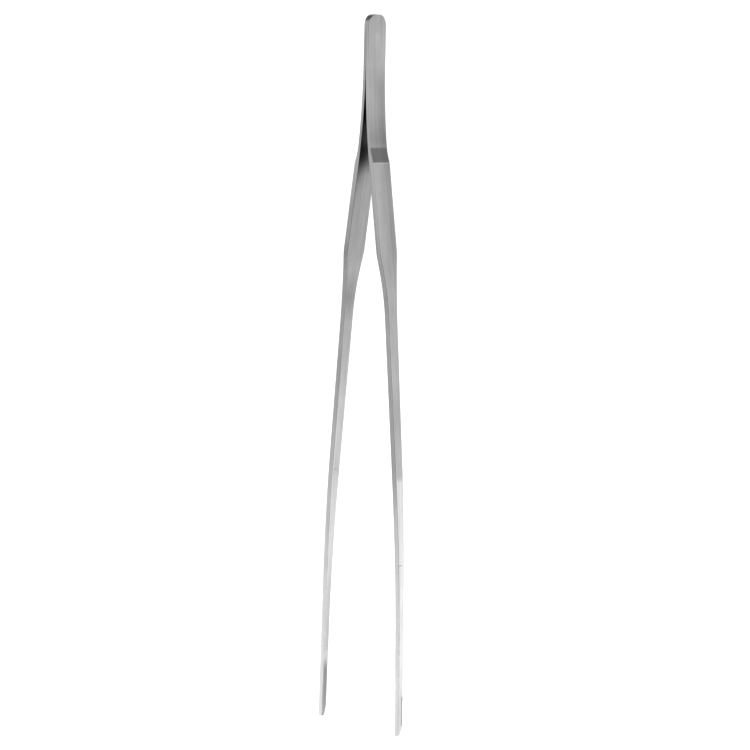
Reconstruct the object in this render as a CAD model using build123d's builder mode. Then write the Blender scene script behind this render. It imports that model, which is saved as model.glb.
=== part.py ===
from build123d import *
from math import asin, atan2, cos, degrees, hypot, isclose, radians, sin, tan
import os

# Aquascaping tweezers, 270 mm long: two steel arms, spot-welded together at the tail and
# sprung apart at the tips. Each arm is one strip of steel, ground thin behind the grip so
# that it flexes there. It is made here as three pieces: the welded tail, the thin spring
# leaf, and the stiff leg that swings as the leaf bends.
#
# Frame, mm: the tweezers lie on their lower edges on z = 0. +X runs from the tail to the
# tips, +Y is the side of the right arm, and the seam between the arms lies in y = 0.
# Stations are distances from the tail end, so x = station - LENGTH / 2.

os.makedirs("parts", exist_ok=True)

# Overall size
LENGTH = 270.0
STRIP_WIDTH = 10.0
FULL_THICKNESS = 2.0
LEAF_THICKNESS = 1.15
EDGE_BREAK = 0.3

# Heading of the inner face away from the seam, as (station, degrees). Between two stations
# with the same heading the face is straight, and otherwise it is one tangent arc.
WELD_END = 17.5
BENDS = [
    (0.0, 0.0),
    (WELD_END, 0.0),
    (55.5, 7.7),
    (97.5, 7.7),
    (108.5, 4.6),
    (166.5, 4.6),
    (225.5, 1.2),
    (LENGTH, 1.2),
]

# Thin leaf, and the hollow ramp on the outer face up to the full thickness
LEAF_END = 47.5
RAMP_END = 54.0
HINGE_SHARE = 0.44  # where along its length the leaf bends about, for fingers on the grip
TIP_CLEARANCE = 0.1  # from each closed tip to the seam

# Width seen from the side: tail corners, grip, hollow-ground taper, slender shank, tip
TAIL_CORNER = 4.0
GRIP_END = 88.0
GRIP_CORNER = 12.0
SHANK_START, SHANK_START_WIDTH = 114.0, 5.0
SHANK_BREAK, SHANK_BREAK_WIDTH = 172.0, 4.15
TIP_START, TIP_WIDTH = 228.0, 2.4

# Tip: its lower corner is rounded away and its outer face is bevelled a little
TIP_ROUND_LENGTH = 4.8
TIP_END_WIDTH = 0.9
TIP_BEVEL_LENGTH = 4.0
TIP_END_THICKNESS = 1.8

# Teeth across the inner faces of the tips, between V grooves that start out faint
TOOTH_PITCH = 0.8
GROOVE_COUNT = 32
FAINT_GROOVES = 8
GROOVE_WIDTH = 0.6
GROOVE_DEPTH = 0.3

# Spot weld through both tails
WELD_STATION = 7.8
WELD_RADIUS = 1.3
WELD_DISH = 0.1

MID_HEIGHT = STRIP_WIDTH / 2
TAIL_X = -LENGTH / 2


def heading(station):
    """Heading of the inner face, in radians. Its sine runs evenly through an arc."""
    for (start, first), (stop, last) in zip(BENDS, BENDS[1:]):
        if station <= stop:
            share = (station - start) / (stop - start)
            return asin((1 - share) * sin(radians(first)) + share * sin(radians(last)))


def is_straight(start, stop):
    """Whether the inner face keeps its heading between two stations."""
    return isclose(heading(start), heading(stop), abs_tol=1e-9)


def stops_between(first, last):
    """The stations where the face changes between straight and arc, with both ends."""
    return [first] + [stop for stop, _ in BENDS if first < stop < last] + [last]


def half_gap(station):
    """Distance of the inner face from the seam, with the tweezers open."""
    gap = 0.0
    stops = stops_between(0.0, station)
    for start, stop in zip(stops, stops[1:]):
        if is_straight(start, stop):
            gap += tan(heading(start)) * (stop - start)
        else:
            radius = (stop - start) / (sin(heading(stop)) - sin(heading(start)))
            gap += radius * (cos(heading(start)) - cos(heading(stop)))
    return gap


def face_point(station, depth):
    """Point in plan, this deep in the steel behind the right arm's inner face."""
    turn = heading(station)
    return (TAIL_X + station - depth * sin(turn), half_gap(station) + depth * cos(turn))


def side_point(station, width, side):
    """Point on the upper (side 1) or lower (side -1) edge, seen from the side."""
    return (TAIL_X + station, MID_HEIGHT + side * width / 2)


def draw_face(first, last, depth):
    """Draw the tangent lines and arcs that run parallel to the inner face."""
    stops = stops_between(first, last)
    for start, stop in zip(stops, stops[1:]):
        ends = face_point(start, depth), face_point(stop, depth)
        if is_straight(start, stop):
            Line(*ends)
        else:
            TangentArc(*ends, tangent=(cos(heading(start)), sin(heading(start))))


def draw_arm_outline(side):
    """Draw the upper or lower outline of the grip, taper and shank, up to the tip."""
    shank_start = side_point(SHANK_START, SHANK_START_WIDTH, side)
    shank_break = side_point(SHANK_BREAK, SHANK_BREAK_WIDTH, side)
    grip_end = side_point(GRIP_END, STRIP_WIDTH, side)
    shank = Line(shank_start, shank_break)
    Line(shank_break, side_point(TIP_START, TIP_WIDTH, side))
    TangentArc(shank_start, grip_end, tangent=-(shank % 0))
    Line(grip_end, side_point(0, STRIP_WIDTH, side))


def runs_lengthwise(edge):
    """Whether an edge runs along the arm for more than the teeth are apart."""
    return edge.length > 1 and abs((edge % 0.5).X) > 0.7


# Tail of the right arm, with the hole that the weld fills
with BuildPart() as right_tail:
    with BuildSketch(Plane.XZ):
        with Locations((TAIL_X + WELD_END / 2, MID_HEIGHT)):
            Rectangle(WELD_END, STRIP_WIDTH)
    extrude(amount=-LEAF_THICKNESS)
    fillet(right_tail.edges().filter_by(Axis.Y).group_by(Axis.X)[0], TAIL_CORNER)
    outer_face = right_tail.faces().sort_by(Axis.Y)[-1]
    fillet(outer_face.edges().sort_by(Axis.X)[:-1], EDGE_BREAK)
    with BuildSketch(Plane.XZ):
        with Locations((TAIL_X + WELD_STATION, MID_HEIGHT)):
            Circle(WELD_RADIUS)
    extrude(amount=-LEAF_THICKNESS, mode=Mode.SUBTRACT)
right_tail.part.label = "right_tail"

# Spring leaf of the right arm
with BuildPart() as right_spring:
    with BuildSketch(Plane.XY):
        with BuildLine():
            draw_face(WELD_END, LEAF_END, 0)
            draw_face(WELD_END, LEAF_END, LEAF_THICKNESS)
            Line(face_point(WELD_END, 0), face_point(WELD_END, LEAF_THICKNESS))
            Line(face_point(LEAF_END, 0), face_point(LEAF_END, LEAF_THICKNESS))
        make_face()
    extrude(amount=STRIP_WIDTH)
    fillet(right_spring.edges().filter_by(runs_lengthwise), EDGE_BREAK)
right_spring.part.label = "right_spring"

# Leg of the right arm: ramp, grip, taper, shank and toothed tip
with BuildPart() as right_leg:
    with BuildSketch(Plane.XY):
        with BuildLine():
            bevel_start = LENGTH - TIP_BEVEL_LENGTH
            draw_face(LEAF_END, LENGTH, 0)
            Line(face_point(LEAF_END, 0), face_point(LEAF_END, LEAF_THICKNESS))
            leaf_run = (cos(heading(LEAF_END)), sin(heading(LEAF_END)))
            ramp_ends = face_point(LEAF_END, LEAF_THICKNESS), face_point(RAMP_END, FULL_THICKNESS)
            TangentArc(*ramp_ends, tangent=leaf_run)
            draw_face(RAMP_END, bevel_start, FULL_THICKNESS)
            Line(face_point(bevel_start, FULL_THICKNESS), face_point(LENGTH, TIP_END_THICKNESS))
            Line(face_point(LENGTH, TIP_END_THICKNESS), face_point(LENGTH, 0))
        make_face()
    extrude(amount=STRIP_WIDTH)
    with BuildSketch(Plane.XZ) as side_view:
        with BuildLine():
            draw_arm_outline(1)
            draw_arm_outline(-1)
            Line(side_point(0, STRIP_WIDTH, 1), side_point(0, STRIP_WIDTH, -1))
            top_end = side_point(LENGTH, TIP_WIDTH, 1)
            low_end = (top_end[0], top_end[1] - TIP_END_WIDTH)
            round_start = side_point(LENGTH - TIP_ROUND_LENGTH, TIP_WIDTH, -1)
            Line(side_point(TIP_START, TIP_WIDTH, 1), top_end)
            Line(top_end, low_end)
            TangentArc(round_start, low_end, tangent=(1, 0))
            Line(round_start, side_point(TIP_START, TIP_WIDTH, -1))
        make_face()
        grip_end_x = side_point(GRIP_END, STRIP_WIDTH, 1)[0]
        grip_corners = side_view.vertices().filter_by(lambda corner: isclose(corner.X, grip_end_x))
        fillet(grip_corners, GRIP_CORNER)
    extrude(amount=-(half_gap(LENGTH) + FULL_THICKNESS), mode=Mode.INTERSECT)
    fillet(right_leg.edges().filter_by(runs_lengthwise), EDGE_BREAK)
    with BuildSketch(Plane.XY):
        for number in range(1, GROOVE_COUNT + 1):
            station = LENGTH - number * TOOTH_PITCH
            strength = min(1, (GROOVE_COUNT + 1 - number) / (FAINT_GROOVES + 1))
            half_width = strength * GROOVE_WIDTH / 2
            bottom = (0, strength * GROOVE_DEPTH)
            with Locations(Location(face_point(station, 0), degrees(heading(station)))):
                Polygon((-half_width, 0), (half_width, 0), bottom, align=None)
    extrude(amount=STRIP_WIDTH, mode=Mode.SUBTRACT)
right_leg.part.label = "right_leg"

# Spot weld: a nugget through both tails, dished at each end by the electrodes
with BuildPart() as spot_weld:
    with BuildSketch(Plane.XY.offset(MID_HEIGHT)):
        with BuildLine():
            weld_x = TAIL_X + WELD_STATION
            rim_x = weld_x + WELD_RADIUS
            dish_y = LEAF_THICKNESS - WELD_DISH
            Line((weld_x, -dish_y), (weld_x, dish_y))
            TangentArc((weld_x, dish_y), (rim_x, LEAF_THICKNESS), tangent=(1, 0))
            Line((rim_x, LEAF_THICKNESS), (rim_x, -LEAF_THICKNESS))
            TangentArc((weld_x, -dish_y), (rim_x, -LEAF_THICKNESS), tangent=(1, 0))
        make_face()
    revolve(axis=Axis((weld_x, 0, MID_HEIGHT), (0, 1, 0)))
spot_weld.part.label = "spot_weld"
export_step(spot_weld.part, f"parts/{spot_weld.part.label}.step")

# The left arm mirrors the right one
for right_piece in (right_tail, right_spring, right_leg):
    with BuildPart() as left_piece:
        mirror(right_piece.part, about=Plane.XZ)
    left_piece.part.label = right_piece.part.label.replace("right", "left")
    export_step(left_piece.part, f"parts/{left_piece.part.label}.step")
    export_step(right_piece.part, f"parts/{right_piece.part.label}.step")

# Closing angle of a leg about the leaf's effective hinge, until the tips all but touch
hinge_station = WELD_END + HINGE_SHARE * (LEAF_END - WELD_END)
hinge_y = half_gap(hinge_station) + LEAF_THICKNESS / 2
reach = LENGTH - hinge_station
swing = half_gap(LENGTH) - hinge_y
closing_angle = atan2(swing, reach) + asin((hinge_y - TIP_CLEARANCE) / hypot(swing, reach))
print(f"right hinge at x {TAIL_X + hinge_station:.2f}, y {hinge_y:.3f}, z {MID_HEIGHT:.2f}")
print(f"legs close by {degrees(closing_angle):.3f} degrees from a gap of {2 * half_gap(LENGTH):.2f}")
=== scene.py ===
from math import asin, atan2, cos, pi, radians, sin, sqrt, tan

import bmesh
import bpy
import numpy as np
from mathutils import Matrix, Vector


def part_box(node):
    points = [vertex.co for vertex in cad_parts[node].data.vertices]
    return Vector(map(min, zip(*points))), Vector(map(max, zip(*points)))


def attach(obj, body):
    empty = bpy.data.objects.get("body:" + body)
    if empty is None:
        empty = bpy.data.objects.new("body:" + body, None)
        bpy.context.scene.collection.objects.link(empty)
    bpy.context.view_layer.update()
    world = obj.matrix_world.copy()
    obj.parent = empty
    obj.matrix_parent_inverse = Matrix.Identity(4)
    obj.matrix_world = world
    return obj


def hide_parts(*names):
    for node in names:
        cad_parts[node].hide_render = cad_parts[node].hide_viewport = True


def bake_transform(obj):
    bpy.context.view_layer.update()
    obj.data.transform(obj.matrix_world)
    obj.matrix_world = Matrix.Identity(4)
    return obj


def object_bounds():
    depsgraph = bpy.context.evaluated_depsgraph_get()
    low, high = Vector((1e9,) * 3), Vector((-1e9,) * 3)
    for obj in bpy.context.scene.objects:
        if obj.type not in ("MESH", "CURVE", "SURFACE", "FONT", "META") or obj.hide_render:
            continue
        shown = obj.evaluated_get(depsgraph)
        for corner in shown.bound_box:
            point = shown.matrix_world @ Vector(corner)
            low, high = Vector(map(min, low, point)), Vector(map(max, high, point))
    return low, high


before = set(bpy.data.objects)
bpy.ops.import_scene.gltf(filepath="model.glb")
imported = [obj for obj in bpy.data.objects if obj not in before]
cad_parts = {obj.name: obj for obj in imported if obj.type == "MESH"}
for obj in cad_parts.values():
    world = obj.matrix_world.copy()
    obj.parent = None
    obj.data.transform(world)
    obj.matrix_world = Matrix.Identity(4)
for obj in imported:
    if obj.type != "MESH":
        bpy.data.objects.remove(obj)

# Aquascaping tweezers lying on a pale floor. Each arm is one strip of satin steel and one mesh.
# It is laid out flat first, in strip coordinates (station from the tail end, depth behind the
# inner face, height above mid-width), and then bent to the arm's plan line. Metres throughout.

MM = 0.001
cad_low, cad_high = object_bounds()

# ------------------------------------------------------------------ driving dimensions

TAIL_X = cad_low.x
LENGTH = cad_high.x - cad_low.x
STRIP_WIDTH = cad_high.z - cad_low.z
MID_HEIGHT = (cad_low.z + cad_high.z) / 2
LEAF_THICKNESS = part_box("right_tail")[1].y
WELD_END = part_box("right_tail")[1].x - TAIL_X
LEAF_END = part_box("right_spring")[1].x - TAIL_X
FULL_THICKNESS = 2.0 * MM
RAMP_START, RAMP_END = 48.8 * MM, 54.4 * MM  # the ramp as its grinding marks show it

# Heading of the inner face away from the seam, as (station, degrees): straight between
# stations with the same heading, and otherwise one tangent arc
BENDS = [
    (0.0, 0.0),
    (WELD_END, 0.0),
    (55.5 * MM, 7.7),
    (97.5 * MM, 7.7),
    (108.5 * MM, 4.6),
    (166.5 * MM, 4.6),
    (225.5 * MM, 1.2),
    (LENGTH, 1.2),
]

# Side view
TAIL_CORNER = 4.0 * MM
GRIP_END = 88.0 * MM
GRIP_CORNER = 0.3 * MM  # how soft the corner is where the taper starts
SHANK_START, SHANK_START_WIDTH = 114.0 * MM, 5.0 * MM
SHANK_BREAK, SHANK_BREAK_WIDTH = 172.0 * MM, 4.15 * MM
TIP_START, TIP_WIDTH = 228.0 * MM, 2.4 * MM
TIP_ROUND_LENGTH = 4.8 * MM
TIP_END_WIDTH = 0.9 * MM
TIP_BEVEL_LENGTH = 4.0 * MM
TIP_END_THICKNESS = 1.8 * MM
TIP_FACET_START, TIP_FACET_RUN, TIP_FACET_DEPTH = 254.0 * MM, 5.0 * MM, 0.22 * MM
TIP_CORNER = 0.3 * MM
TIP_TOE = (0.3, 0.72)  # the point that rounds the toe, as shares of the way to the lower edge

# Softened long edges, and how close the mesh rows stand beside a crease
OUTER_ROUND = 0.16 * MM
TAIL_ROUND = 0.12 * MM
INNER_ROUND = 0.14 * MM
TIP_ROUND = 0.12 * MM
SEAM_ROUND = 0.02 * MM
SEAM_FADE = 6 * MM  # how far to each side of the weld's end the seam's edges grow soft
TIP_FADE_START, TIP_FADE_STOP = LENGTH - 8 * MM, LENGTH - 2 * MM
FACE_INSET = 1.8  # where a face's first flat row stands, in edge radii from the rim
CREASE = 0.15 * MM
ROUND_STEPS, TAIL_STEPS, NOSE_STEPS = 4, 10, 4  # round the long edges, tail corners and nose
SHARP_ANGLE = 32  # degrees between two faces, above which their edge stays sharp

# Teeth across the inner faces of the tips
TOOTH_PITCH = 0.8 * MM
GROOVE_COUNT = 32
FAINT_GROOVES = 8  # the ones that fade in, furthest from the tip
GROOVE_WIDTH = 0.6 * MM
GROOVE_DEPTH = 0.28 * MM

# Spot weld
weld_low, weld_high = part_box("spot_weld")
WELD_CENTRE = (weld_low + weld_high) / 2
WELD_RADIUS = (weld_high.x - weld_low.x) / 2
WELD_DISH = 0.01 * MM  # how far the dished centre stands proud of the arm
WELD_LIP = 0.024 * MM  # and the lip round it
WELD_RIM = 0.03 * MM  # how far the rim lies under the arm's face
WELD_RINGS, WELD_SIDES = 14, 56
WELD_RING_PITCH = 0.16 * MM

# Nicks across the strip, as (side, station, height, strength)
NICKS = [
    (1, 204.0 * MM, 0.6 * MM, 0.7),
    (-1, 171.4 * MM, 0.6 * MM, 0.45),
]
NICK_WIDTH, NICK_LENGTH = 0.25 * MM, 1.9 * MM

# Pale floor, which is lit from below too
FLOOR_SIZE, FLOOR_DROP = 3.0, 0.03 * MM
FLOOR_GREY, FLOOR_GLOW = 0.3, 0.9

# Studio sky: its level, the glow beyond both ends of the tweezers, how much that leans to the
# right arm's side, and the glow high behind the left arm
SKY_LEVEL = 0.5
SKY_ENDS = 0.7
SKY_LEAN = 0.8
SKY_BACK = 0.85
DARK_SIDE = (-0.78, -0.62, 0.1)  # towards the dark patch that the tail's rim mirrors
DARK_START, DARK_FULL = 0.85, 0.99  # cosines of the angles to it where the patch starts and is full
DARK_LEVEL = 0.1  # the share of the glow that is left in it

# Camera: angles in degrees, distance and lens, and the station that it looks at
VIEW_TURN = 38.9
VIEW_TILT = 7.8
VIEW_ROLL = -1.27
VIEW_DISTANCE = 0.773
VIEW_LENS = 98.65
VIEW_SHIFT = 0.00995
AIM_STATION = 133.75 * MM


# ------------------------------------------------------------------ plan line of an arm

def heading(station):
    """Heading of the inner face in radians. Its sine runs evenly through an arc."""
    for (start, first), (stop, last) in zip(BENDS, BENDS[1:]):
        if station <= stop:
            share = (station - start) / (stop - start)
            return asin((1 - share) * sin(radians(first)) + share * sin(radians(last)))
    return radians(BENDS[-1][1])


def half_gap(station):
    """Distance of the inner face from the seam, with the tweezers open."""
    gap = 0.0
    stops = [0.0] + [stop for stop, _ in BENDS if 0 < stop < station] + [station]
    for start, stop in zip(stops, stops[1:]):
        first, last = heading(start), heading(stop)
        if abs(first - last) < 1e-9:
            gap += tan(first) * (stop - start)
        else:
            gap += (stop - start) * (cos(first) - cos(last)) / (sin(last) - sin(first))
    return gap


# ------------------------------------------------------------------ shape of the flat strip

def smooth_step(low, high, value):
    """0 below low, 1 above high, and an even S in between."""
    share = min(1.0, max(0.0, (value - low) / (high - low)))
    return share * share * (3 - 2 * share)


def between(start, stop, station, first, last):
    """Straight-line value between two stations, held at both ends."""
    share = min(1.0, max(0.0, (station - start) / (stop - start)))
    return first + share * (last - first)


def thickness(station):
    """Thin leaf, hollow-ground ramp, full strip, and the bevelled tip."""
    if station < (LEAF_END + LENGTH) / 2:
        share = between(LEAF_END, RAMP_END, station, 0.0, 1.0)
        return LEAF_THICKNESS + share * share * (FULL_THICKNESS - LEAF_THICKNESS)
    bevel_start = LENGTH - TIP_BEVEL_LENGTH
    return between(bevel_start, LENGTH, station, FULL_THICKNESS, TIP_END_THICKNESS)


def half_width(station):
    """Half the strip's width: grip, hollow-ground taper with a soft corner, shank and tip."""
    if station > SHANK_BREAK:
        return between(SHANK_BREAK, TIP_START, station, SHANK_BREAK_WIDTH, TIP_WIDTH) / 2
    if station > SHANK_START:
        ends = (SHANK_START_WIDTH, SHANK_BREAK_WIDTH)
        return between(SHANK_START, SHANK_BREAK, station, *ends) / 2
    share = (SHANK_START - station) / (SHANK_START - GRIP_END)
    taper = (SHANK_START_WIDTH + share * share * (STRIP_WIDTH - SHANK_START_WIDTH)) / 2
    grip = STRIP_WIDTH / 2
    overlap = max(0.0, GRIP_CORNER - abs(taper - grip))
    return min(taper, grip) - overlap * overlap / (4 * GRIP_CORNER)


def lower_height(station):
    """Height of the lower edge, which sweeps up in an arc at the tip."""
    past = max(0.0, station - (LENGTH - TIP_ROUND_LENGTH))
    rise = TIP_WIDTH - TIP_END_WIDTH
    radius = (TIP_ROUND_LENGTH ** 2 + rise ** 2) / (2 * rise)
    return -half_width(station) + radius - sqrt(radius ** 2 - past ** 2)


def groove(station):
    """Depth of the V grooves between the teeth, shallow at first and full towards the tip."""
    number = round((LENGTH - station) / TOOTH_PITCH)
    if number < 1 or number > GROOVE_COUNT:
        return 0.0
    strength = min(1.0, (GROOVE_COUNT + 1 - number) / (FAINT_GROOVES + 1))
    away = abs(station - (LENGTH - number * TOOTH_PITCH))
    return max(0.0, GROOVE_DEPTH * strength - away * 2 * GROOVE_DEPTH / GROOVE_WIDTH)


def inner_round(station):
    """Edge radius of the inner face: ground flush along the weld, then soft."""
    soft = smooth_step(WELD_END - SEAM_FADE, WELD_END + SEAM_FADE, station)
    tip = smooth_step(TIP_FADE_START, TIP_FADE_STOP, station)
    return SEAM_ROUND + soft * (INNER_ROUND - SEAM_ROUND) - tip * (INNER_ROUND - TIP_ROUND)


def outer_round(station):
    """Edge radius of the outer face."""
    grip = smooth_step(LEAF_END, RAMP_END, station)
    tip = smooth_step(TIP_FADE_START, TIP_FADE_STOP, station)
    return TAIL_ROUND + grip * (OUTER_ROUND - TAIL_ROUND) - tip * (OUTER_ROUND - TIP_ROUND)


# ------------------------------------------------------------------ outline of the flat strip

def spread(start, stop, step):
    """Evenly spaced stations from start up to, but not including, stop."""
    count = max(1, round((stop - start) / step))
    return [start + (stop - start) * number / count for number in range(count)]


def spine_stations():
    """Stations of the strip's cross rows, close together at creases, taper and teeth."""
    teeth_start = LENGTH - (GROOVE_COUNT + 0.5) * TOOTH_PITCH
    marks = [
        (TAIL_CORNER, 1.0 * MM),
        (WELD_END, 1.5 * MM),
        (LEAF_END - CREASE, CREASE),
        (LEAF_END + CREASE, 0.4 * MM),
        (RAMP_END - CREASE, CREASE),
        (RAMP_END + CREASE, 1.5 * MM),
        (GRIP_END - 4 * MM, 0.6 * MM),
        (SHANK_START, 2.0 * MM),
        (teeth_start, TOOTH_PITCH / 8),
        (LENGTH - TIP_CORNER, TOOTH_PITCH / 8),
    ]
    stations = []
    for (start, step), (stop, _) in zip(marks, marks[1:]):
        stations += spread(start, stop, step)
    return stations + [marks[-1][0]]


def arc_points(centre, radius, first, last, count):
    """Points on an arc in the (station, height) plane, without its two ends."""
    turns = [radians(first + (last - first) * number / count) for number in range(1, count)]
    return [(centre[0] + radius * cos(turn), centre[1] + radius * sin(turn)) for turn in turns]


def outline(stations):
    """The strip's rim, clockwise from the tail's lower corner, as (rim point, spine row)."""
    last = len(stations) - 1
    centre = STRIP_WIDTH / 2 - TAIL_CORNER
    low_corner = arc_points((TAIL_CORNER, -centre), TAIL_CORNER, 270, 180, TAIL_STEPS)
    tail_end = [(0.0, centre * share) for share in (-1, -0.33, 0.33, 1)]
    high_corner = arc_points((TAIL_CORNER, centre), TAIL_CORNER, 180, 90, TAIL_STEPS)
    rim = [(point, 0) for point in low_corner + tail_end + high_corner]
    rim += [((station, half_width(station)), row) for row, station in enumerate(stations)]

    end_x, low = stations[-1], lower_height(stations[-1])
    nose_top = TIP_WIDTH / 2 - TIP_CORNER
    nose_low = nose_top - (TIP_END_WIDTH - 2 * TIP_CORNER)
    toe = (LENGTH + (end_x - LENGTH) * TIP_TOE[0], nose_low + (low - nose_low) * TIP_TOE[1])
    nose = arc_points((end_x, nose_top), TIP_CORNER, 90, 0, NOSE_STEPS)
    nose += [(LENGTH, nose_top), (LENGTH, nose_low), toe]
    rim += [(point, last) for point in nose]
    rim += [
        ((station, lower_height(station)), row)
        for row, station in reversed(list(enumerate(stations)))
    ]
    return rim


# ------------------------------------------------------------------ arm mesh

def inner_point(station, height):
    """A point of the inner face, away from its edges."""
    return (station, groove(station), height, 0, 0, groove(station) / GROOVE_DEPTH)


def outer_point(station, height):
    """A point of the outer face, away from its edges."""
    return (station, thickness(station), height, 0, 0, 0)


def column(rim_point, inward, spine_point):
    """One cut from the inner face's spine, over the rim, to the outer face's spine.
    Points are (station, depth, height, edge, corner, cut): edge is 1 between the two faces,
    corner is 1 in the middle of each rounding, and cut is 1 at the bottom of a full groove."""
    def at(inset, edge, depth, corner=0.0, cut=0.0):
        station = rim_point[0] + inward[0] * inset
        return (station, depth, rim_point[1] + inward[1] * inset, edge, corner, cut)

    def half_way(point):
        station = (point[0] + spine_point[0]) / 2
        return station, (point[2] + spine_point[1]) / 2

    inner, outer = inner_round(rim_point[0]), outer_round(rim_point[0])
    floor_depth, back_depth = groove(rim_point[0]), thickness(rim_point[0])
    if rim_point[1] < spine_point[1]:
        facet = smooth_step(TIP_FACET_START, TIP_FACET_START + TIP_FACET_RUN, rim_point[0])
        back_depth -= TIP_FACET_DEPTH * facet
    cut = floor_depth / GROOVE_DEPTH
    turns = [pi / 2 * step / ROUND_STEPS for step in range(ROUND_STEPS + 1)]
    points = [at(FACE_INSET * inner, 0, floor_depth, cut=cut)]
    points += [
        at(inner * (1 - sin(t)), 1, floor_depth + inner * (1 - cos(t)), sin(2 * t), cut * cos(t))
        for t in turns
    ]
    points.append(at(0, 1, (floor_depth + inner + back_depth - outer) / 2))
    points += [
        at(outer * (1 - cos(t)), 1, back_depth - outer * (1 - sin(t)), sin(2 * t)) for t in turns
    ]
    points.append(at(FACE_INSET * outer, 0, back_depth))
    points.insert(0, inner_point(*half_way(points[0])))
    points.append(outer_point(*half_way(points[-1])))
    return points


def bent(points, side):
    """Bend flat-strip points to the plan line of the right (1) or left (-1) arm."""
    lines = {}
    for station in {point[0] for point in points}:
        held = min(station, LENGTH)
        lines[station] = (heading(held), half_gap(held))
    places = []
    for station, depth, height, *_ in points:
        turn, gap = lines[station]
        x = TAIL_X + station - depth * sin(turn)
        places.append((x, side * (gap + depth * cos(turn)), MID_HEIGHT + height))
    return places


def make_arm(name, side):
    """One whole arm as a closed mesh, with its strip coordinates stored on the vertices."""
    stations = spine_stations()
    rim = outline(stations)
    rim_points = np.array([point for point, _ in rim])
    travel = np.roll(rim_points, -1, axis=0) - np.roll(rim_points, 1, axis=0)
    travel /= np.linalg.norm(travel, axis=1)[:, None]
    spine = [(station, (half_width(station) + lower_height(station)) / 2) for station in stations]

    points = []
    for (rim_point, row), (along, up) in zip(rim, travel):
        points += column(rim_point, (up, -along), spine[row])
    rings = len(points) // len(rim)
    inner_spine = len(points)
    points += [inner_point(*place) for place in spine]
    outer_spine = len(points)
    points += [outer_point(*place) for place in spine]

    faces = []
    for number, (_, row) in enumerate(rim):
        other = (number + 1) % len(rim)
        other_row = rim[other][1]
        here, there = number * rings, other * rings
        for ring in range(rings - 1):
            faces.append((here + ring, there + ring, there + ring + 1, here + ring + 1))
        last = rings - 1
        caps = [(here, there, inner_spine, False), (here + last, there + last, outer_spine, True)]
        for first, second, base, flip in caps:
            cap = [second, first, base + row]
            if other_row != row:
                cap.append(base + other_row)
            faces.append(tuple(reversed(cap)) if flip else tuple(cap))

    mesh = bpy.data.meshes.new(name)
    mesh.from_pydata(bent(points, side), [], faces)
    strip = mesh.attributes.new("strip", "FLOAT_VECTOR", "POINT")
    strip.data.foreach_set("vector", [value for point in points for value in point[:3]])
    _, _, _, edge, corner, cut = zip(*points)
    marks = {"edge": edge, "corner": corner, "groove": cut, "arm": [side] * len(points)}
    for attribute, values in marks.items():
        mesh.attributes.new(attribute, "FLOAT", "POINT").data.foreach_set("value", values)
    map_around(mesh, points)
    arm = bpy.data.objects.new(name, mesh)
    bpy.context.scene.collection.objects.link(arm)
    finish_mesh(arm)
    return arm


def map_around(mesh, points):
    """A UV map whose first direction runs along the strip, and whose second goes round it."""
    layer = mesh.uv_layers.new(name="UVMap")
    turns = [atan2(depth - thickness(min(station, LENGTH)) / 2, height)
             for station, depth, height, *_ in points]
    for face in mesh.polygons:
        around = [turns[vertex] for vertex in face.vertices]
        wraps = max(around) - min(around) > pi
        for loop, vertex, turn in zip(face.loop_indices, face.vertices, around):
            turn += 2 * pi if wraps and turn < 0 else 0
            layer.data[loop].uv = (points[vertex][0] / LENGTH, turn / (4 * pi) + 0.25)


def finish_mesh(piece):
    """Point the faces outward, shade them smooth, and keep real corners sharp."""
    work = bmesh.new()
    work.from_mesh(piece.data)
    bmesh.ops.recalc_face_normals(work, faces=work.faces)
    for face in work.faces:
        face.smooth = True
    for line in work.edges:
        line.smooth = line.calc_face_angle(0.0) < radians(SHARP_ANGLE)
    work.to_mesh(piece.data)
    work.free()
    weighting = piece.modifiers.new("flat_faces", "WEIGHTED_NORMAL")
    weighting.keep_sharp = True


right_arm = make_arm("right_arm", 1)
left_arm = make_arm("left_arm", -1)

for arm, body in ((right_arm, "right_leg"), (left_arm, "left_leg")):
    side_name = body.split("_")[0]
    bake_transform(arm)
    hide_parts(side_name + "_tail", side_name + "_spring", side_name + "_leg")

# ------------------------------------------------------------------ weld mark

def weld_height(share):
    """How far the weld stands proud of an arm, from its dished centre to its sunken rim."""
    lip = smooth_step(0.2, 0.8, share)
    fall = smooth_step(0.82, 1.0, share)
    return WELD_DISH + lip * (WELD_LIP - WELD_DISH) - fall * (WELD_LIP + WELD_RIM)


def make_weld(name):
    """The weld nugget through both tails, turned about Y, with a ring-shaped lip at each end."""
    shares = [number / WELD_RINGS for number in range(1, WELD_RINGS + 1)]
    profile = [(share * WELD_RADIUS, LEAF_THICKNESS + weld_height(share)) for share in shares]
    profile += [(radius, -out) for radius, out in reversed(profile)]
    turns = [2 * pi * number / WELD_SIDES for number in range(WELD_SIDES)]
    middle = LEAF_THICKNESS + weld_height(0.0)

    work = bmesh.new()
    rings = []
    for radius, out in profile:
        offsets = [Vector((radius * cos(turn), out, radius * sin(turn))) for turn in turns]
        rings.append([work.verts.new(WELD_CENTRE + offset) for offset in offsets])
    for ring, other in zip(rings, rings[1:]):
        for side in range(WELD_SIDES):
            after = (side + 1) % WELD_SIDES
            work.faces.new((ring[side], ring[after], other[after], other[side]))
    for ring, out in ((rings[0], middle), (rings[-1], -middle)):
        tip = work.verts.new(WELD_CENTRE + Vector((0, out, 0)))
        for side in range(WELD_SIDES):
            work.faces.new((ring[side], ring[(side + 1) % WELD_SIDES], tip))
    mesh = bpy.data.meshes.new(name)
    work.to_mesh(mesh)
    work.free()
    weld = bpy.data.objects.new(name, mesh)
    bpy.context.scene.collection.objects.link(weld)
    finish_mesh(weld)
    return weld


weld_mark = make_weld("weld_mark")
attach(weld_mark, "tail")
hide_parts("spot_weld")

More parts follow.
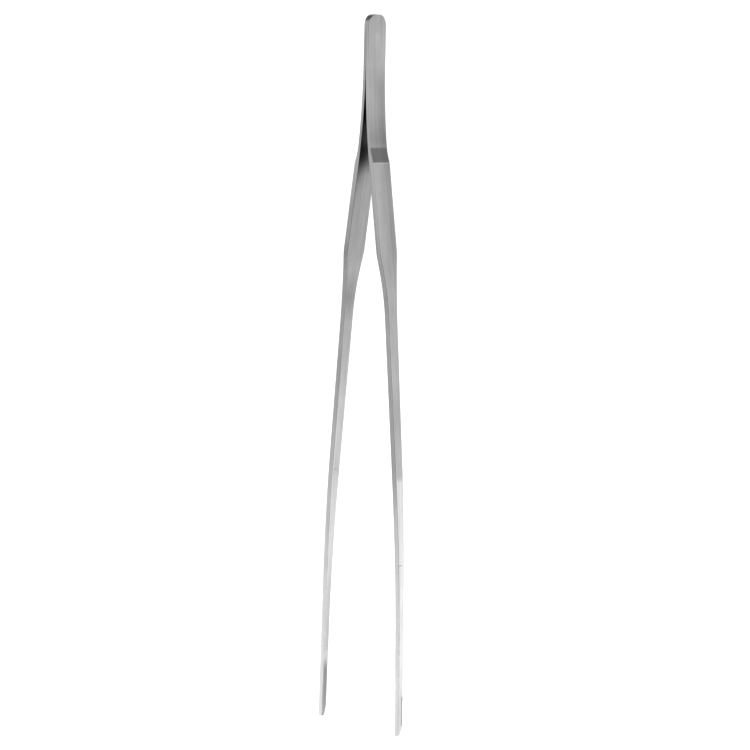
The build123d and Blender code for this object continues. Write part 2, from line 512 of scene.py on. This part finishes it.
# ------------------------------------------------------------------ materials

# How bright the steel is along an arm, as (station in mm, grey): satin at the tail and grip,
# brighter where the shank is dressed, and polished from its break to the tips. The greys also
# hold painted light and shade: painted shade in the slit between the tails, on the inner faces
# near the apex of the V, at 105 mm on the inner face, on the left arm's edge by the leaf and
# where the leaf runs into the ramp, and painted light on the inner faces just past the apex
OUTER_TONE = [
    (0, 0.4), (8, 0.43), (18, 0.44), (25, 0.37), (36, 0.375), (46, 0.29), (54, 0.39),
    (88, 0.39), (105, 0.415), (115, 0.41), (135, 0.45), (145, 0.415), (155, 0.45),
    (171.7, 0.48), (172.2, 0.65), (190, 0.655), (200, 0.7), (220, 0.69), (240, 0.71), (250, 0.7),
    (255, 0.62), (270, 0.62),
]
# Painted shade in the slit between the tails (25 to 35 mm), near the apex of the V (46 to 53 mm)
# and at 105 mm, and painted light just past the apex (58 to 66 mm)
INNER_TONE = [
    (0, 0.4), (18, 0.36), (25, 0.12), (32, 0.035), (35, 0.11), (40, 0.36), (46, 0.28),
    (49.5, 0.12), (53, 0.13), (58.5, 0.37), (66, 0.41), (76, 0.39), (88, 0.39), (95, 0.42),
    (105, 0.32), (115, 0.435), (125, 0.43), (145, 0.535), (165, 0.555), (172, 0.52), (190, 0.61),
    (200, 0.61), (210, 0.57), (222, 0.53), (242, 0.52), (250, 0.74), (270, 0.84),
]
EDGE_TONE = [
    (0, 0.5), (5, 0.45), (14, 0.53), (25, 0.58), (50, 0.53), (76, 0.51), (88, 0.47),
    (95, 0.46), (105, 0.42), (118, 0.52), (135, 0.485), (172, 0.49), (190, 0.69), (205, 0.76),
    (240, 0.81), (270, 0.84),
]
# Painted shade on the left arm's edge from 20 to 48 mm
LEFT_EDGE_TONE = [
    (0, 0.54), (8, 0.45), (18, 0.47), (25, 0.46), (38, 0.48), (46, 0.42), (53, 0.53), (60, 0.49),
    (66, 0.49), (72, 0.44), (82, 0.46), (88, 0.38), (96, 0.47), (105, 0.46), (118, 0.49),
    (135, 0.48), (165, 0.585), (190, 0.68), (205, 0.73), (240, 0.87), (270, 0.9),
]
# Painted shade on the middle of each rounded edge, dimming its highlight, as a factor along the arm
CORNER_SHADE = [  # a factor, not a grey
    (0, 0.8), (20, 0.85), (60, 0.95), (85, 1.0), (95, 0.94), (115, 0.94), (140, 0.85),
    (165, 0.77), (180, 0.85), (194, 0.72), (215, 0.75), (235, 0.8), (252, 0.6), (270, 0.75),
]

# Changes over whole faces: the left tip's outer face is duller, and leaf and grip carry
# painted light, brighter from their lower edge to their upper one
DULL_START, DULL_FULL, DULLING = 150 * MM, 180 * MM, -0.2
SLOPE_LOW, SLOPE_HIGH = -0.1, 0.13

# Marks that lie over those tones: the grey of each, and how much of the tone it covers
# The ramp's grey is partly its coarse ground finish and partly painted shade
RAMP_FINISH_AND_SHADE_GREY = 0.195
# Painted highlight along the crest where the ramp ends
CREST_HIGHLIGHT_GREY, CREST_HIGHLIGHT_COVER, CREST_HIGHLIGHT_WIDTH = 0.8, 0.15, 0.4 * MM
# Painted shade on the tip's lower facet, where it mirrors the shaded floor beneath
FACET_SHADE_GREY, FACET_SHADE_COVER = 0.2, 0.8
# Painted shade in the grooves between the teeth
GROOVE_SHADE_GREY, GROOVE_SHADE_COVER = 0.02, 0.95
NICK_GREY = 0.08
# Painted dark reflection on the rim round the tail's end
RIM_REFLECTION_GREY, RIM_REFLECTION_END, RIM_REFLECTION_INNER = 0.1, 1.4 * MM, 1.1 * MM

# Brushing: length and width of the grinding lines and of the soft patches, and how much they
# change tone and roughness
FINE_LINES, BROAD_LINES, PATCHES = (22 * MM, 0.11 * MM), (80 * MM, 0.9 * MM), (13 * MM, 4 * MM)
ARM_SEED = 7.3  # how far apart the two arms draw their noise
LINE_CONTRAST, PATCH_CONTRAST = 0.1, 0.05
ROUGH_LINES, ROUGH_PATCHES = (0.36, 0.27), 0.03
EDGE_POLISH = 0.08  # how much smoother the edges are than the faces
BRUSHED = 0.6
LINE_DEPTH, WELD_PIT_DEPTH = 0.004 * MM, 0.006 * MM
TINT_START, TINT_END = 26 * MM, 97 * MM
GREEN_SHARE = 0.988  # the green in the steel there, against its red and blue
NOISE_LOW, NOISE_HIGH = 0.3, 0.7  # the values that most of a noise texture lies between


class Recipe:
    """A node tree, with short calls for the nodes that it is made of."""

    def __init__(self, owner, shader):
        owner.use_nodes = True
        self.tree = owner.node_tree
        self.shader = self.tree.nodes[shader]

    def put(self, socket, value):
        """Give a socket a plain value or the output of another node."""
        if isinstance(value, bpy.types.NodeSocket):
            self.tree.links.new(value, socket)
        else:
            socket.default_value = value

    def add(self, kind, inputs, **settings):
        """A new node with these inputs and settings."""
        item = self.tree.nodes.new(kind)
        for name, value in settings.items():
            setattr(item, name, value)
        for name, value in inputs.items():
            self.put(item.inputs[name], value)
        return item

    def finish(self, **values):
        """Fill the sockets of the shader."""
        for name, value in values.items():
            self.put(self.shader.inputs[name.replace("_", " ").title()], value)

    def attribute(self, name, output):
        """A value stored on the mesh."""
        return self.add("ShaderNodeAttribute", {}, attribute_name=name).outputs[output]

    def maths(self, operation, *values):
        """The result of one maths operation."""
        inputs = dict(enumerate(values))
        return self.add("ShaderNodeMath", inputs, operation=operation).outputs[0]

    def product(self, *values):
        """All these masks multiplied together."""
        result = values[0]
        for value in values[1:]:
            result = self.maths("MULTIPLY", result, value)
        return result

    def ease(self, value, low, high, first=0.0, last=1.0):
        """A smooth change from first, below low, to last, above high."""
        span = {"From Min": low, "From Max": high, "To Min": first, "To Max": last}
        inputs = {"Value": value, **span}
        mapped = self.add("ShaderNodeMapRange", inputs, interpolation_type="SMOOTHSTEP")
        return mapped.outputs["Result"]

    def vary(self, noise, first, last):
        """A smooth change from first to last with the value of a noise."""
        return self.ease(noise, NOISE_LOW, NOISE_HIGH, first, last)

    def band(self, value, start, stop, soft):
        """1 between start and stop, 0 outside, with soft ends."""
        rise = self.ease(value, start - soft, start + soft)
        return self.product(rise, self.ease(value, stop - soft, stop + soft, 1.0, 0.0))

    def mix(self, factor, first, last):
        """A grey between two greys."""
        return self.add("ShaderNodeMix", {0: factor, 2: first, 3: last}).outputs[0]

    def tone(self, station, stops):
        """A grey that changes along the strip through these (station in mm, grey) stops."""
        item = self.add("ShaderNodeValToRGB", {0: self.maths("DIVIDE", station, LENGTH)})
        elements = item.color_ramp.elements
        for stop, grey in stops[1:-1]:
            elements.new(stop * MM / LENGTH).color = (grey, grey, grey, 1)
        for element, (_, grey) in ((elements[0], stops[0]), (elements[-1], stops[-1])):
            element.color = (grey, grey, grey, 1)
        return item.outputs[0]

    def streaks(self, place, seed, along, across, detail=3.0):
        """Noise drawn out along the strip: lines of this length and width, in metres."""
        scale = (1 / along, 1 / across, 1 / across)
        inputs = {0: place, 1: scale}
        stretched = self.add("ShaderNodeVectorMath", inputs, operation="MULTIPLY").outputs[0]
        inputs = {"Vector": stretched, "W": seed, "Scale": 1.0, "Detail": detail, "Roughness": 0.6}
        return self.add("ShaderNodeTexNoise", inputs, noise_dimensions="4D").outputs[0]


class StripPlaces:
    """Where a point of an arm lies, as sockets: strip coordinates, and masks of faces and edges."""

    def __init__(self, steel):
        self.place = steel.attribute("strip", "Vector")
        self.arm = steel.attribute("arm", "Fac")
        self.edge = steel.attribute("edge", "Fac")
        self.corner = steel.attribute("corner", "Fac")
        self.cut = steel.attribute("groove", "Fac")
        apart = steel.add("ShaderNodeSeparateXYZ", {0: self.place})
        self.station, self.depth, self.height = apart.outputs
        self.right = steel.ease(self.arm, -1.0, 1.0)
        self.left = steel.maths("SUBTRACT", 1.0, self.right)
        self.flat = steel.maths("SUBTRACT", 1.0, self.edge)
        self.inside = steel.ease(self.depth, 0.1 * MM, 0.3 * MM, 1.0, 0.0)
        self.outside = steel.ease(self.depth, LEAF_THICKNESS * 0.8, LEAF_THICKNESS * 0.97)


def plain_tone(steel, at):
    """Tone of the faces and edges along an arm, before any marks, with the painted light and shade
    of its tone tables and painted shade on the rounded corners.
    """
    outer = steel.tone(at.station, OUTER_TONE)
    dull_tip = steel.product(steel.ease(at.station, DULL_START, DULL_FULL), at.left, DULLING)
    outer = steel.product(outer, steel.maths("ADD", dull_tip, 1.0))
    tone = steel.mix(at.inside, outer, steel.tone(at.station, INNER_TONE))
    right_edge = steel.tone(at.station, EDGE_TONE)
    left_edge = steel.tone(at.station, LEFT_EDGE_TONE)
    tone = steel.mix(at.edge, tone, steel.mix(at.left, right_edge, left_edge))
    # painted shade over the highlights on the rounded edges
    shaded = steel.product(tone, steel.tone(at.station, CORNER_SHADE))
    return steel.mix(at.corner, tone, shaded)


def rim_reflection_and_slope_tone(steel, at, tone):
    """The tone with a painted dark reflection on the tail's rim, and with painted light on leaf and
    grip, brighter towards the top.
    """
    away = steel.maths("ABSOLUTE", at.height)
    # painted dark reflection on the rim round the tail's end
    rim_reflection = steel.band(at.station, 0.0, RIM_REFLECTION_END, 0.35 * MM)
    rim_reflection = steel.product(rim_reflection, at.edge, steel.ease(away, RIM_REFLECTION_INNER, RIM_REFLECTION_INNER + 0.5 * MM))
    tone = steel.mix(rim_reflection, tone, RIM_REFLECTION_GREY)
    # Painted light on the outer faces of leaf and grip: brighter towards the upper edge
    painted_slope_zone = steel.band(at.station, WELD_END + 6 * MM, GRIP_END + 4 * MM, 6 * MM)
    slope = steel.ease(at.height, -STRIP_WIDTH / 2, STRIP_WIDTH / 2, SLOPE_LOW, SLOPE_HIGH)
    slope = steel.product(slope, painted_slope_zone, at.outside, at.flat)
    return steel.product(tone, steel.maths("ADD", slope, 1.0))


def ground_tone(steel, at, tone):
    """The tone with the coarse ramp, darker for its ground finish and with painted shade, the
    painted highlight along its crest, and painted shade on the lower facet of the tip.
    """
    ramp = steel.band(at.station, RAMP_START, RAMP_END - 0.05 * MM, 0.4 * MM)
    ramp_stop = steel.ease(at.station, RAMP_END - 0.1 * MM, RAMP_END, 1.0, 0.0)
    tone = steel.mix(steel.product(ramp, ramp_stop, at.outside, at.flat), tone, RAMP_FINISH_AND_SHADE_GREY)
    # painted highlight along the crest where the ramp ends
    crest_highlight = steel.band(at.station, RAMP_END, RAMP_END + CREST_HIGHLIGHT_WIDTH, 0.1 * MM)
    tone = steel.mix(steel.product(crest_highlight, at.outside, at.flat, CREST_HIGHLIGHT_COVER), tone, CREST_HIGHLIGHT_GREY)
    # painted shade on the tip's lower facet
    facet = steel.product(
        steel.band(at.station, TIP_FACET_START + 1 * MM, LENGTH - 3.5 * MM, 1 * MM),
        steel.ease(at.depth, 1.2 * MM, 1.5 * MM),
        steel.ease(at.height, -0.35 * MM, -0.2 * MM, 1.0, 0.0),
    )
    return steel.mix(steel.product(facet, FACET_SHADE_COVER), tone, FACET_SHADE_GREY)


def cut_tone(steel, at, tone):
    """The tone with the nicks, and with painted shade in the grooves between the teeth."""
    for side, nick_station, nick_height, strength in NICKS:
        away = steel.maths("ABSOLUTE", steel.maths("SUBTRACT", at.height, nick_height))
        nick = steel.product(
            at.right if side > 0 else at.left,
            strength,
            steel.band(at.station, nick_station, nick_station + NICK_WIDTH, 0.08 * MM),
            steel.ease(away, NICK_LENGTH / 2 - 0.3 * MM, NICK_LENGTH / 2, 1.0, 0.0),
        )
        tone = steel.mix(nick, tone, NICK_GREY)
    # painted shade in the grooves between the teeth
    return steel.mix(steel.ease(at.cut, 0.08, 0.42, 0.0, GROOVE_SHADE_COVER), tone, GROOVE_SHADE_GREY)


def satin_steel():
    """Stainless steel brushed lengthwise, with coarse ramps, brighter legs and polished tips, and
    with painted light and shade in its greys.
    """
    material = bpy.data.materials.new("satin_steel")
    steel = Recipe(material, "Principled BSDF")
    at = StripPlaces(steel)
    seed = steel.product(at.arm, ARM_SEED)
    fine = steel.streaks(at.place, seed, *FINE_LINES)
    broad = steel.streaks(at.place, seed, *BROAD_LINES, detail=2.0)
    patches = steel.streaks(at.place, seed, *PATCHES, detail=2.0)
    lines = steel.maths("MULTIPLY_ADD", fine, 0.5, steel.product(broad, 0.5))

    tone = plain_tone(steel, at)
    for change in (rim_reflection_and_slope_tone, ground_tone, cut_tone):
        tone = change(steel, at, tone)
    for noise, contrast in ((lines, LINE_CONTRAST), (patches, PATCH_CONTRAST)):
        tone = steel.product(tone, steel.vary(noise, 1 - contrast, 1 + contrast))
    grips = steel.band(at.station, TINT_START, TINT_END, 6 * MM)
    green = steel.product(tone, steel.ease(grips, 0.0, 1.0, 1.0, GREEN_SHARE))
    colour = steel.add("ShaderNodeCombineColor", {0: tone, 1: green, 2: tone})

    rough = steel.vary(lines, *ROUGH_LINES)
    rough = steel.maths("ADD", rough, steel.vary(patches, -ROUGH_PATCHES, ROUGH_PATCHES))
    rough = steel.maths("SUBTRACT", rough, steel.product(at.edge, EDGE_POLISH))
    bump = {"Strength": 0.5, "Distance": LINE_DEPTH, "Height": lines}
    relief = steel.add("ShaderNodeBump", bump)
    lengthwise = steel.add("ShaderNodeTangent", {}, direction_type="UV_MAP", uv_map="UVMap")
    steel.finish(
        base_color=colour.outputs[0], metallic=1.0, roughness=rough, anisotropic=BRUSHED,
        tangent=lengthwise.outputs[0], normal=relief.outputs[0],
    )
    return material


def weld_steel():
    """Steel that has melted and set again: mottled and pitted, a little brighter in the middle
    than at the rim, with faint press rings."""
    material = bpy.data.materials.new("weld_steel")
    steel = Recipe(material, "Principled BSDF")
    place = steel.add("ShaderNodeTexCoord", {}).outputs["Object"]
    shift = {0: place, 1: WELD_CENTRE}
    offset = steel.add("ShaderNodeVectorMath", shift, operation="SUBTRACT").outputs[0]
    along, _, up = steel.add("ShaderNodeSeparateXYZ", {0: offset}).outputs
    squares = steel.maths("POWER", along, 2.0), steel.maths("POWER", up, 2.0)
    radius = steel.maths("SQRT", steel.maths("ADD", *squares))
    rings = steel.maths("SINE", steel.maths("MULTIPLY", radius, 2 * pi / WELD_RING_PITCH))
    mottle = steel.streaks(offset, 3.1, 0.5 * MM, 0.5 * MM)
    pits = steel.streaks(offset, 9.4, 0.12 * MM, 0.12 * MM, detail=1.0)

    rim = steel.ease(radius, WELD_RADIUS * 0.8, WELD_RADIUS, 0.0, 0.35)
    tone = steel.vary(mottle, 0.42, 0.52)
    tone = steel.mix(steel.ease(pits, 0.62, 0.75, 0.0, 0.4), tone, 0.2)
    tone = steel.mix(rim, tone, 0.28)
    skin = steel.maths("ADD", mottle, steel.product(pits, 0.4))
    relief = steel.maths("MULTIPLY_ADD", rings, 0.15, skin)
    bump = {"Strength": 0.6, "Distance": WELD_PIT_DEPTH, "Height": relief}
    steel.finish(
        base_color=tone, metallic=1.0, roughness=steel.vary(mottle, 0.42, 0.3),
        normal=steel.add("ShaderNodeBump", bump).outputs[0],
    )
    return material


satin = satin_steel()
for arm in (right_arm, left_arm):
    arm.data.materials.append(satin)
weld_mark.data.materials.append(weld_steel())

# ------------------------------------------------------------------ floor, light and camera

bpy.ops.mesh.primitive_plane_add(size=FLOOR_SIZE, location=(0, 0, -FLOOR_DROP))
floor = bpy.context.object
floor.name = "floor"
paper = bpy.data.materials.new("floor")
Recipe(paper, "Principled BSDF").finish(
    base_color=(FLOOR_GREY, FLOOR_GREY, FLOOR_GREY, 1), roughness=0.9,
    emission_color=(1, 1, 1, 1), emission_strength=FLOOR_GLOW,
)
floor.data.materials.append(paper)


def softbox(name, place, aim, size, power):
    """A square area light that faces a point."""
    light = bpy.data.lights.new(name, "AREA")
    light.size = size
    light.energy = power
    lamp = bpy.data.objects.new(name, light)
    bpy.context.scene.collection.objects.link(lamp)
    lamp.location = place
    lamp.rotation_euler = (Vector(place) - Vector(aim)).to_track_quat("Z", "Y").to_euler()


softbox("tip_side", place=(0.75, 0.1, 0.55), aim=(0.08, 0, 0), size=0.7, power=7.0)


def studio_sky():
    """A soft sky, brighter beyond both ends and high behind the left arm, with one dark patch."""
    world = bpy.data.worlds.new("studio")
    sky = Recipe(world, "Background")
    direction = sky.add("ShaderNodeTexCoord", {}).outputs["Generated"]
    along, across, upward = sky.add("ShaderNodeSeparateXYZ", {0: direction}).outputs
    ends = sky.maths("MULTIPLY_ADD", across, SKY_ENDS * SKY_LEAN, SKY_ENDS)
    glow = sky.maths("MULTIPLY_ADD", sky.maths("MULTIPLY", along, along), ends, SKY_LEVEL)
    behind, above = sky.maths("MINIMUM", across, 0.0), sky.maths("MAXIMUM", upward, 0.0)
    glow = sky.maths("MULTIPLY_ADD", sky.maths("MULTIPLY", behind, above), -SKY_BACK, glow)
    sides = {0: direction, 1: DARK_SIDE}
    dark = sky.add("ShaderNodeVectorMath", sides, operation="DOT_PRODUCT").outputs["Value"]
    glow = sky.maths("MULTIPLY", glow, sky.ease(dark, DARK_START, DARK_FULL, 1.0, DARK_LEVEL))
    sky.finish(color=(1, 1, 1, 1), strength=glow)
    return world


bpy.context.scene.world = studio_sky()
bpy.context.scene.view_settings.view_transform = "Standard"
bpy.context.scene.view_settings.gamma = 0.8

turn, tilt, roll = radians(VIEW_TURN), radians(VIEW_TILT), radians(VIEW_ROLL)
level_right = Vector((0, cos(turn), -sin(turn)))
level_up = Vector((-cos(tilt), -sin(turn) * sin(tilt), -cos(turn) * sin(tilt)))
to_camera = Vector((-sin(tilt), sin(turn) * cos(tilt), cos(turn) * cos(tilt)))
right = level_right * cos(roll) - level_up * sin(roll)
up = level_right * sin(roll) + level_up * cos(roll)
camera_data = bpy.data.cameras.new("camera")
camera_data.lens = VIEW_LENS
camera_data.shift_x = VIEW_SHIFT
camera = bpy.data.objects.new("camera", camera_data)
bpy.context.scene.collection.objects.link(camera)
place = Vector((TAIL_X + AIM_STATION, 0, MID_HEIGHT)) + to_camera * VIEW_DISTANCE
rotation = Matrix((right, up, to_camera)).transposed().to_4x4()
camera.matrix_world = Matrix.Translation(place) @ rotation
bpy.context.scene.camera = camera
